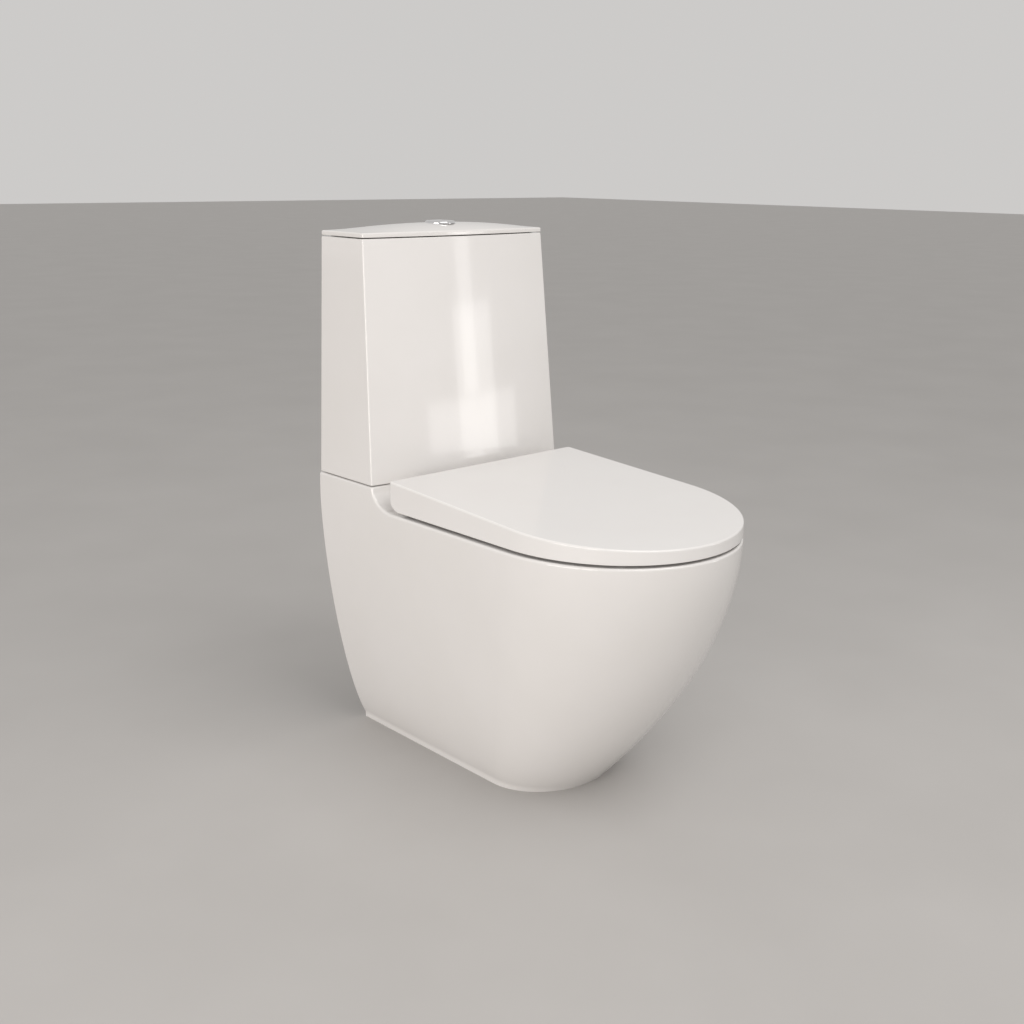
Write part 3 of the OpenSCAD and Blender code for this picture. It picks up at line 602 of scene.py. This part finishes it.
def build_pan():
    """The one-piece china pan: skirt, bowl, trap, flush duct and fixing lugs."""
    pan = skin_solid()
    deck_inside = RIM_HALF - CHINA - 0.5
    deck_hollow = block((-deck_inside, -DECK_FRONT + CHINA, RIM_H - CHINA - 4),
                        (deck_inside, -CHINA - 1, DECK_H - CHINA - 1))
    combine(pan, [skirt_hollow(), back_opening(), deck_hollow], "DIFFERENCE")

    duct_back, duct_roof = -19, RIM_H - 6
    lug_low, lug_high = (LUG_Y - LUG_REACH, 0), (LUG_Y + LUG_REACH, LUG_T)
    combine(pan, [
        bowl_outside(),
        tube_along(trap_path(TRAP_WALL, OUTLET_END)),
        block((-DUCT_HALF, -BOWL_BACK - 4, DUCT_FLOOR), (DUCT_HALF, duct_back, duct_roof)),
        block((-DUCT_HALF, -DECK_FRONT + 5, DUCT_FLOOR), (DUCT_HALF, duct_back, DECK_H - CHINA)),
        *(side_block(s, LUG_NEAR, LUG_FAR, lug_low, lug_high) for s in SIDES),
    ], "UNION")

    inside_half, wall = DUCT_HALF - CHINA, 11
    duct_inside = block((-inside_half, -BOWL_BACK - 10, DUCT_FLOOR + CHINA),
                        (inside_half, duct_back - wall, duct_roof - 12))
    trap_inside = tube_along(trap_path(0.0, OUTLET_END + 1))
    combine(pan, [bowl_inside(), trap_inside, duct_inside, *pan_holes()], "DIFFERENCE")
    finish_piece(pan, "pan_china", "body", GLAZE, "pan")


# ---------- cistern and lid ----------

CISTERN_HALF = TANK_HI.x
CISTERN_D = WALL_Y - TANK_LO.y
LID_HALF = LID_HI.x
CISTERN_TOP_D = WALL_Y - LID_LO.y
BOW_R = 1578.0
LID_BACK = 0.5
LID_EDGE_Z = TANK_HI.z + 1.5
LID_EDGE_T = 6.6
LID_CROWN = LID_HI.z - LID_EDGE_Z - LID_EDGE_T
CROWN_POWER = 2.2


def bowed_outline(half, depth, inset, corner, back=0.0):
    """Half a cistern outline in plan, from its rear right corner to the middle of its bowed front."""
    half, depth = half - inset, depth - inset
    corner = max(corner - inset, 0.25)
    back_y = -back - inset

    def front(x):
        return -depth + BOW_R - math.sqrt(BOW_R * BOW_R - x * x)

    lean = math.asin((half - corner) / BOW_R)
    last = 90 - math.degrees(lean)
    c, s = math.cos(math.radians(last)), math.sin(math.radians(last))
    cx = half - corner
    cy = front(cx + corner * c) + corner * s
    points = [(cx + corner * s1, back_y - corner + corner * c1) for c1, s1 in arc(4)]
    points += [(half, lerp(back_y - corner, cy, i / 30)) for i in range(1, 30)]
    points += [(cx + corner * c1, cy - corner * s1) for c1, s1 in arc(7, 0, last)]
    edge = cx + corner * c
    points += [(edge * (1 - i / 24), front(edge * (1 - i / 24))) for i in range(1, 25)]
    return points


def mirrored(right, z):
    """A full ring from its right half; z is a height or a function of x and y."""
    height = z if callable(z) else (lambda x, y: z)
    return [(x, y, height(x, y)) for x, y in right] + [(-x, y, height(x, y)) for x, y in right[-2::-1]]


def tank_ring(z, inset, corner, edge_inset=0.0):
    """A ring round the cistern, whose width and depth change evenly from its bottom to its top."""
    t = (z - TANK_LO.z) / (TANK_HI.z - TANK_LO.z)
    half = lerp(CISTERN_HALF, LID_HALF, t)
    depth = lerp(CISTERN_D, CISTERN_TOP_D, t)
    cut = inset + edge_inset
    return mirrored(bowed_outline(half, depth, cut, corner + cut), z)


def wall_hole(side, wall):
    """A screw hole through the cistern's rear wall."""
    hole = drum(0, 0, -PAST, wall + PAST, SCREW_HOLE_R, 32)
    hole.data.transform(Matrix.Translation((0, -WALL_Y * MM, 0)))
    hole.data.transform(Matrix.Rotation(math.radians(90), 4, "X"))
    hole.data.transform(Matrix.Translation((side * WALL_HOLE_X * MM, WALL_Y * MM, WALL_HOLE_Z * MM)))
    return hole


def build_cistern():
    """The china cistern, open at the top, with a hollow platform under the flush valve."""
    wall, edge, corner = 9.0, 1.6, 2.6
    bottom, top = TANK_LO.z, TANK_HI.z
    rings = [tank_ring(bottom + edge * (1 - s), 0, corner, edge * (1 - c)) for c, s in arc(5, 90, 0)]
    rings += [tank_ring(lerp(bottom + edge, top - edge, i / 10), 0, corner) for i in range(1, 10)]
    rings += [tank_ring(top - edge * (1 - s), 0, corner, edge * (1 - c)) for c, s in arc(5)]
    tank = loft("cistern", rings)

    floor, floor_round, mouth_corner = bottom + 12, 6.0, 8.0
    inner = [tank_ring(floor + floor_round * (1 - s), wall, corner, floor_round * (1 - c))
             for c, s in arc(4, 90, 0)]
    inner += [tank_ring(top - edge, wall, mouth_corner)]
    inner += [tank_ring(top - edge * (1 - s), wall, mouth_corner, -edge * (1 - c)) for c, s in arc(4, 15, 80)]
    inner += [tank_ring(top + 1, wall, mouth_corner, -edge - 2)]
    combine(tank, [loft("hollow", inner)], "DIFFERENCE")

    platform_half, platform_front, platform_back, platform_top = 106, -121, -5, bottom + 40.5
    platform = block((-platform_half, platform_front, bottom + PAST),
                     (platform_half, platform_back, platform_top))
    combine(tank, [platform], "UNION")

    side_wall, front_wall, back_wall = 11, 10, 8
    recess_half = platform_half - side_wall
    recess = block((-recess_half, platform_front + front_wall, bottom - PAST),
                   (recess_half, platform_back - back_wall, platform_top - side_wall))
    through_low, through_high = bottom + 20, bottom + 60
    valve_hole_r, fill_hole_r = 31, 14
    valve_hole = drum(0, -VALVE_BACK, through_low, through_high, valve_hole_r, 96)
    fill_hole = drum(FILL_X, FILL_Y, bottom - PAST, through_low, fill_hole_r)
    cuts = [recess, valve_hole, fill_hole]
    for s in SIDES:
        cuts.append(drum(s * COUPLING_X, -VALVE_BACK, through_low, through_high, COUPLING_HOLE_R, 32))
        cuts.append(wall_hole(s, wall))
    combine(tank, cuts, "DIFFERENCE")
    finish_piece(tank, "cistern_china", "body", GLAZE, "cistern")


def crown(x, y):
    """The lid's rise above its flat edge."""
    bow = CISTERN_TOP_D - (BOW_R - math.sqrt(max(BOW_R * BOW_R - x * x, 0)))
    u = min(abs(x) / LID_HALF, 1.0)
    v = min(max((-y - LID_BACK) / (bow - LID_BACK), 0.0), 1.0)
    return LID_CROWN * (1 - u ** CROWN_POWER) * (1 - abs(2 * v - 1) ** CROWN_POWER)


def build_lid():
    """The crowned cistern lid, hollow from below, with a seat and a hole for the push button."""
    top_r, low_r, corner = 2.0, 0.8, 2.4
    edge_low, edge_high = LID_EDGE_Z, LID_EDGE_Z + LID_EDGE_T

    def ring(inset, z):
        outline = bowed_outline(LID_HALF, CISTERN_TOP_D, inset, corner + inset * 0.6, back=LID_BACK)
        return mirrored(outline, z)

    def crown_height(x, y):
        return edge_high + crown(x, y)

    rings = [ring(low_r * (1 - c), edge_low + low_r * (1 - s)) for c, s in arc(3, 90, 0)]
    rings.append(ring(0, edge_high - top_r))
    for c, s in arc(6)[1:]:
        rings.append(ring(top_r * (1 - c), lambda x, y, s=s: edge_high - top_r * (1 - s) + crown(x, y) * s))
    rings += [ring(inset, crown_height) for inset in (2.8, 4)]
    lid = loft("lid", rings, crown_height=crown_height)

    ledge_inset, ledge_low = 4, LID_LO.z + 7.4
    lip_inset, chamfer = 10.5, 0.8
    ledge = loft("ledge", [ring(ledge_inset, z) for z in (ledge_low, edge_low + PAST)])
    lip = loft("lip", [
        ring(lip_inset + chamfer, LID_LO.z),
        ring(lip_inset, LID_LO.z + chamfer),
        ring(lip_inset, edge_low + PAST),
    ])
    combine(lid, [ledge, lip], "UNION")

    under, hollow_inset = LID_HI.z - 11.6, 15.5
    hollow = loft("hollow", [
        ring(hollow_inset, LID_LO.z - 1),
        ring(hollow_inset, under - 3),
        ring(hollow_inset + 0.9, under - 0.9),
        ring(hollow_inset + 3, under),
    ])
    hole_r, seat_play, above = 19, 0.6, BUTTON_SEAT_Z + 20
    hole = drum(0, -VALVE_BACK, LID_LO.z - 5, above, hole_r, 96)
    seat = drum(0, -VALVE_BACK, BUTTON_SEAT_Z, above, BEZEL_HI.x + seat_play, 128)
    combine(lid, [hollow, hole, seat], "DIFFERENCE")
    finish_piece(lid, "cistern_lid_china", "lid", GLAZE, "cistern_lid")


# ---------- seat ----------

COVER_HALF = COVER_HI.x
COVER_SIDE = 421.5
COVER_FRONT = WALL_Y - COVER_LO.y
COVER_REAR = WALL_Y - COVER_HI.y
COVER_REAR_TOP = COVER_HI.z
COVER_BOTTOM = RIM_H + 4.0
COVER_FALL = 0.0559
COVER_T = 3.5
COVER_ROUND = 23.0
RING_BOTTOM = RING_LO.z
RING_REAR = 199.0
RING_FRONT_TOP = RING_BOTTOM + 11.3
RING_FALL = 0.031
OPENING_HALF = 108
OPENING_BACK = 262
OPENING_FRONT = 528
BUFFER_SPOTS = ((150, 300), (104.5, 545))
BUFFER_POST_R = 9
POST_NOTCH = 9.5
NOTCH_TOP = 436


def cover_top(y):
    """The cover's top face, which falls towards the front."""
    return COVER_REAR_TOP - COVER_FALL * (-y - COVER_REAR)


def ring_top(y):
    """The ring's top face, which falls towards the front."""
    return RING_FRONT_TOP + RING_FALL * (COVER_FRONT + y)


def seat_outline(inset, rear, corner):
    """Half the seat's plan, from its rear right corner to the middle of its front."""
    half, front = COVER_HALF - inset, COVER_FRONT - inset
    corner = max(corner - inset, 0.3)
    rear_y = -rear - inset
    points = [(half - corner + corner * s, rear_y - corner + corner * c) for c, s in arc(6)]
    points += [(half, lerp(rear_y - corner, -COVER_SIDE, i / 14)) for i in range(1, 14)]
    points += [(half * c, -COVER_SIDE - (front - COVER_SIDE) * s) for c, s in arc(56)]
    return points


def seat_solid(inset, rear, corner, bottom, top, low_r, top_r):
    """A D-shaped solid with rounded lower and upper edges and a sloping top."""

    def ring(cut, height):
        return mirrored(seat_outline(inset + cut, rear - inset, corner + inset), height)

    rings = [ring(low_r * (1 - c), bottom + low_r * (1 - s)) for c, s in arc(4, 90, 0)]
    for i in range(1, 7):
        rings.append(ring(0, lambda x, y, t=i / 6: lerp(bottom + low_r, top(y) - top_r, t)))
    rings += [ring(top_r * (1 - c), lambda x, y, s=s: top(y) - top_r * (1 - s)) for c, s in arc(7)[1:]]
    return loft("seat", rings)


def under_corner(r):
    """What lies below and behind the cover's rounded lower rear corner."""
    cy, cz = -COVER_REAR - COVER_ROUND, COVER_BOTTOM + COVER_ROUND
    curve = [(cy + r * c, cz - r * s) for c, s in arc(14)]
    low, back = COVER_BOTTOM - 12, -COVER_REAR + 12
    return prism_x([(cy, low), (back, low), (back, cz)] + curve, COVER_HALF + 10)


def bar(x0, x1, r, sides=64):
    """A cylinder on the hinge's axis."""
    turns = [math.tau * i / sides for i in range(sides)]
    points = [(x, HINGE.y + r * math.cos(a), HINGE.z + r * math.sin(a)) for x in (x0, x1) for a in turns]
    faces = [(i, (i + 1) % sides, sides + (i + 1) % sides, sides + i) for i in range(sides)]
    faces += [tuple(range(sides)), tuple(range(2 * sides - 1, sides - 1, -1))]
    obj = mesh_object("bar", points, faces)
    outward(obj)
    return obj


def knuckle(side, near, far, r, low, high):
    """A hinge barrel and the block that joins it, between two distances from the middle."""
    x0, x1 = sorted((side * near, side * far))
    return [bar(x0, x1, r), side_block(side, near, far, low, high)]


def build_cover():
    """The seat's thin-walled cover with its two outer hinge arms."""
    cover = seat_solid(inset=0, rear=COVER_REAR, corner=5, bottom=COVER_BOTTOM, top=cover_top,
                       low_r=0.8, top_r=2.8)
    combine(cover, [under_corner(COVER_ROUND)], "DIFFERENCE")
    inner = seat_solid(inset=COVER_T, rear=COVER_REAR + COVER_T, corner=3, bottom=COVER_BOTTOM - 6,
                       top=lambda y: cover_top(y) - COVER_T, low_r=0.3, top_r=3.0)
    combine(inner, [under_corner(COVER_ROUND - COVER_T)], "DIFFERENCE")
    combine(cover, [inner], "DIFFERENCE")

    barrel_r, arm_half = 11, 7
    arm_low = (HINGE.y - arm_half, HINGE.z)
    arm_high = (HINGE.y + arm_half, cover_top(HINGE.y - arm_half) - COVER_T / 2)
    arms = []
    for s in SIDES:
        arms += knuckle(s, HINGE_X + KNUCKLE_NEAR, HINGE_X + KNUCKLE_FAR, barrel_r, arm_low, arm_high)
    combine(cover, arms, "UNION")

    pin_bore = bar(-HINGE_X - BORE_FAR, -HINGE_X - BORE_NEAR, PIN_BORE_R)
    damper_bore = bar(HINGE_X + BORE_NEAR, HINGE_X + BORE_FAR, DAMPER_BORE_R)
    notches = [block((s * HINGE_X - POST_NOTCH, -COVER_REAR - COVER_ROUND - 3, COVER_BOTTOM - 5),
                     (s * HINGE_X + POST_NOTCH, -COVER_REAR + 5, NOTCH_TOP)) for s in SIDES]
    combine(cover, [pin_bore, damper_bore, *notches], "DIFFERENCE")
    finish_piece(cover, "seat_cover_shell", "cover", SEAT, "seat_cover")


def opening_ring(z, grow):
    """A ring round the seat's opening, grown outwards; z gives its height from y."""
    steps = 96
    half, back, front = OPENING_HALF + grow, OPENING_BACK - grow, OPENING_FRONT + grow
    ring = []
    for i in range(steps):
        a = -math.tau * i / steps
        y = -(back + front) / 2 + (front - back) / 2 * math.sin(a)
        ring.append((half * math.cos(a), y, z(y)))
    return ring


def opening_cutter():
    """The seat's opening, which widens upwards over a rounded lip and a little at the underside."""
    lip, chamfer, bottom = 9.0, 1.4, RING_BOTTOM
    end_grow, end_rise = 15.47, 1.5
    rings = [
        opening_ring(lambda y: bottom - PAST, 2.0),
        opening_ring(lambda y: bottom, chamfer),
        opening_ring(lambda y: bottom + chamfer, 0.0),
    ]
    for c, s in arc(8, 0, 80):
        rings.append(opening_ring(lambda y, s=s: max(ring_top(y) - lip * (1 - s), bottom + 1.6 + 2 * s),
                                  lip * (1 - c)))
    rings.append(opening_ring(lambda y: ring_top(y) + end_rise, end_grow))
    return loft("opening", rings, fan=True)


def build_seat_ring():
    """The seat ring, hollow from below round its opening's wall and its four buffer posts."""
    inset = COVER_HALF - RING_HI.x
    ring = seat_solid(inset=inset, rear=RING_REAR + inset, corner=6, bottom=RING_BOTTOM, top=ring_top,
                      low_r=1.2, top_r=4.5)
    combine(ring, [opening_cutter()], "DIFFERENCE")

    wall, skin, rear_wall = 8.0, 7.0, 14.0
    low, high = RING_BOTTOM - 8, RING_BOTTOM + 40
    channel = seat_solid(inset=inset + wall, rear=RING_REAR + rear_wall + inset, corner=6,
                         bottom=RING_BOTTOM - 5, top=lambda y: ring_top(y) - skin, low_r=0.3, top_r=2.0)
    island = loft("island", [opening_ring(lambda y, z=z: z, wall) for z in (low, high)], fan=True)
    posts = [drum(s * x, -y, low, high, BUFFER_POST_R, 48) for x, y in BUFFER_SPOTS for s in SIDES]
    combine(channel, [island, *posts], "DIFFERENCE")
    combine(ring, [channel], "DIFFERENCE")

    barrel_r = 12
    arm_low = (-RING_REAR - 8, HINGE.z - 8)
    arm_high = (HINGE.y, HINGE.z + 4)
    arms = []
    for s in SIDES:
        arms += knuckle(s, HINGE_X - KNUCKLE_FAR, HINGE_X - KNUCKLE_NEAR, barrel_r, arm_low, arm_high)
    combine(ring, arms, "UNION")
    damper_bore = bar(-HINGE_X + BORE_NEAR, -HINGE_X + BORE_FAR, DAMPER_BORE_R)
    pin_bore = bar(HINGE_X - BORE_FAR, HINGE_X - BORE_NEAR, PIN_BORE_R)
    combine(ring, [damper_bore, pin_bore], "DIFFERENCE")
    finish_piece(ring, "seat_ring_moulding", "ring", SEAT, "seat_ring")


# ---------- push button ----------

BUTTON_R = 15.7
BUTTON_SPLIT_X = -2.5
BUTTON_GAP = 0.4


def revolve(profile, x, y, sides=128):
    """A closed (radius, z) outline turned about an upright axis."""
    n = len(profile)
    turns = [math.tau * k / sides for k in range(sides)]
    points = [(x + r * math.cos(a), y + r * math.sin(a), z) for a in turns for r, z in profile]
    faces = []
    for k in range(sides):
        here, beyond = k * n, (k + 1) % sides * n
        for i in range(n):
            j = (i + 1) % n
            faces.append((here + i, here + j, beyond + j, beyond + i))
    obj = mesh_object("revolve", points, faces)
    outward(obj)
    return obj


def build_bezel():
    """A low domed collar round the two buttons."""
    outer, top, inner = BEZEL_HI.x, BEZEL_HI.z, 18.4
    neck_inner, neck_outer = 17.4, 18.6
    foot = BUTTON_SEAT_Z + 0.9
    profile = [(neck_inner, BEZEL_LO.z), (neck_outer, BEZEL_LO.z)]
    profile += [(neck_outer, BUTTON_SEAT_Z), (outer, BUTTON_SEAT_Z)]
    profile += [(inner + (outer - inner) * c, foot + (top - foot) * s) for c, s in arc(12)]
    profile += [(inner - s, top - 1 + c) for c, s in arc(6)[1:]]
    piece = revolve(profile, 0, -VALVE_BACK)
    finish_piece(piece, "button_bezel_chrome", "lid", CHROME, "button_bezel", angle=40)


def button_half_ring(side, inset, z):
    """A ring round the part of the button's disc on one side of its split; z gives height from x and y."""
    arc_steps, chord_steps = 60, 20
    radius = BUTTON_R - inset
    x_cut = BUTTON_SPLIT_X + side * (BUTTON_GAP + inset)
    end = math.acos(max(-1.0, min(1.0, side * x_cut / radius)))
    ring = []
    for i in range(arc_steps + 1):
        a = lerp(end, -end, i / arc_steps)
        ring.append((side * radius * math.cos(a), radius * math.sin(a)))
    (x0, y0), (x1, y1) = ring[-1], ring[0]
    ring += [(lerp(x0, x1, i / chord_steps), lerp(y0, y1, i / chord_steps)) for i in range(1, chord_steps)]
    if side < 0:
        ring = ring[::-1]
    return [(x, y - VALVE_BACK, z(x, y)) for x, y in ring]


def build_button(side, name, body):
    """One half of the push button, with a rounded edge and a slightly domed top."""
    lo, hi = node_box(name)
    edge, top, dome_fall = 0.7, hi.z, 1.3

    def dome(x, y):
        return -dome_fall * (x * x + y * y) / BUTTON_R ** 2

    rings = [button_half_ring(side, 0, lambda x, y: lo.z)]
    rings += [button_half_ring(side, 0, lambda x, y: top - edge + dome(x, y))]
    for c, s in arc(4)[1:]:
        cut, drop = edge * (1 - c), edge * (1 - s)
        rings.append(button_half_ring(side, cut, lambda x, y, drop=drop: top - drop + dome(x, y)))
    for inset in (1.4, 2.4, 3.6, 5.0):
        rings.append(button_half_ring(side, inset, lambda x, y: top + dome(x, y)))
    piece = loft(name, rings, fan=True)
    finish_piece(piece, name + "_chrome", body, CHROME, name, angle=40)


# ---------- camera, lights and floor ----------


def add_camera():
    """The camera at the picture's viewing angle: seen from the front left and a little above."""
    yaw, pitch, roll = math.radians(42.908), math.radians(15.389), math.radians(0.659)
    place = Vector((-1.2464, -1.2625, 0.8815))
    ahead = Vector((math.sin(yaw) * math.cos(pitch), math.cos(yaw) * math.cos(pitch), -math.sin(pitch)))
    right = Vector((math.cos(yaw), -math.sin(yaw), 0))
    up = right.cross(ahead)
    c, s = math.cos(roll), math.sin(roll)
    right, up = c * right + s * up, -s * right + c * up
    data = bpy.data.cameras.new("camera")
    data.lens = 44.36
    data.sensor_width = 36
    camera = bpy.data.objects.new("camera", data)
    turn = Matrix((right, up, -ahead)).transposed().to_4x4()
    camera.matrix_world = Matrix.Translation(place) @ turn
    bpy.context.scene.collection.objects.link(camera)
    bpy.context.scene.camera = camera


def add_light(name, place, target, width, height, power, colour):
    """A rectangular soft light aimed at a point."""
    data = bpy.data.lights.new(name, "AREA")
    data.shape = "RECTANGLE"
    data.size, data.size_y = width, height
    data.energy = power
    data.color = colour
    light = bpy.data.objects.new(name, data)
    light.location = place
    aim = Vector(target) - Vector(place)
    light.rotation_euler = aim.to_track_quat("-Z", "Y").to_euler()
    bpy.context.scene.collection.objects.link(light)


def add_studio():
    """A pale surrounding, soft lights above and at the left, and three softboxes at the front right."""
    world = bpy.data.worlds.new("studio")
    world.use_nodes = True
    background = world.node_tree.nodes["Background"]
    background.inputs["Color"].default_value = (0.80, 0.785, 0.77, 1)
    background.inputs["Strength"].default_value = 0.76
    bpy.context.scene.world = world
    bpy.context.scene.view_settings.view_transform = "Standard"
    warm, warmer = (1.0, 0.98, 0.965), (1.0, 0.955, 0.92)
    add_light("overhead", (0.0, -1.2, 2.3), (0, 0, 0.45), 1.6, 1.4, 19, warm)
    add_light("left", (-3.0, -0.9, 0.8), (0, 0, 0.35), 2.0, 1.4, 38, warmer)
    add_light("strip", (1.97, -2.11, 0.95), (0, 0.15, 0.6), 0.16, 1.1, 0.9, warm)
    add_light("middle_softbox", (1.99, -2.05, 0.42), (0, 0.15, 0.55), 0.42, 0.65, 1.5, warm)
    add_light("low_softbox", (1.94, -2.08, 0.24), (0, 0.15, 0.5), 1.0, 0.30, 1.4, warm)


def add_floor():
    """A plain pale floor."""
    half = 25.0
    mesh = bpy.data.meshes.new("floor")
    corners = [(-half, -half, 0), (half, -half, 0), (half, half, 0), (-half, half, 0)]
    mesh.from_pydata(corners, [], [(0, 1, 2, 3)])
    floor = bpy.data.objects.new("floor", mesh)
    bpy.context.scene.collection.objects.link(floor)
    material = surface(
        "pale_floor", low=(0.50, 0.485, 0.47), high=(0.53, 0.515, 0.50), rough=(0.55, 0.65),
        scale=3, bump_scale=40, bump_depth=0.0002)
    mesh.materials.append(material)


add_camera()
add_studio()
add_floor()
dress_cad_nodes()
build_pan()
build_cistern()
build_lid()
build_cover()
build_seat_ring()
build_bezel()
build_button(-1, "half_flush_button", "half_button")
build_button(1, "full_flush_button", "full_button")
